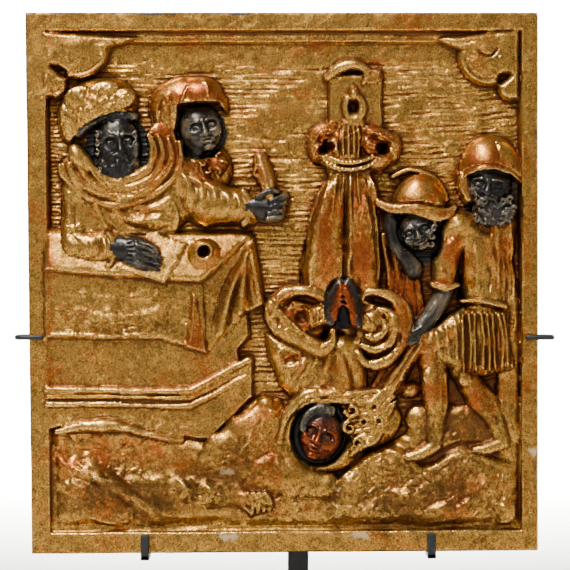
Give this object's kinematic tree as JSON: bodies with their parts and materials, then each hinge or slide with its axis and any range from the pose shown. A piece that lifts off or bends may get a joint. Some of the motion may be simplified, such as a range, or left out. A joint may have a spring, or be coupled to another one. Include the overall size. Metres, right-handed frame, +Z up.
{
  "type": "relief plaque",
  "caption": "Square gilded wood relief plaque with a raised rim and a many-figured scene, held upright by a black steel display stand with rails, claws, post and foot.",
  "frame": {"origin": "centre of the foot's underside, on the table", "axes": "+Z up; the carved face looks towards -Y; +X to the right of someone who faces the carving"},
  "size_m": [0.3248, 0.12, 0.4],
  "materials": {
    "gilded_wood": "worn water gilding over red clay, dark glazed flesh",
    "black_steel": "satin black paint"
  },
  "bodies": {
    "root": {"relief_plaque": "gilded_wood", "stand_cradle": "black_steel", "stand_foot": "black_steel"}
  },
  "joints": []
}
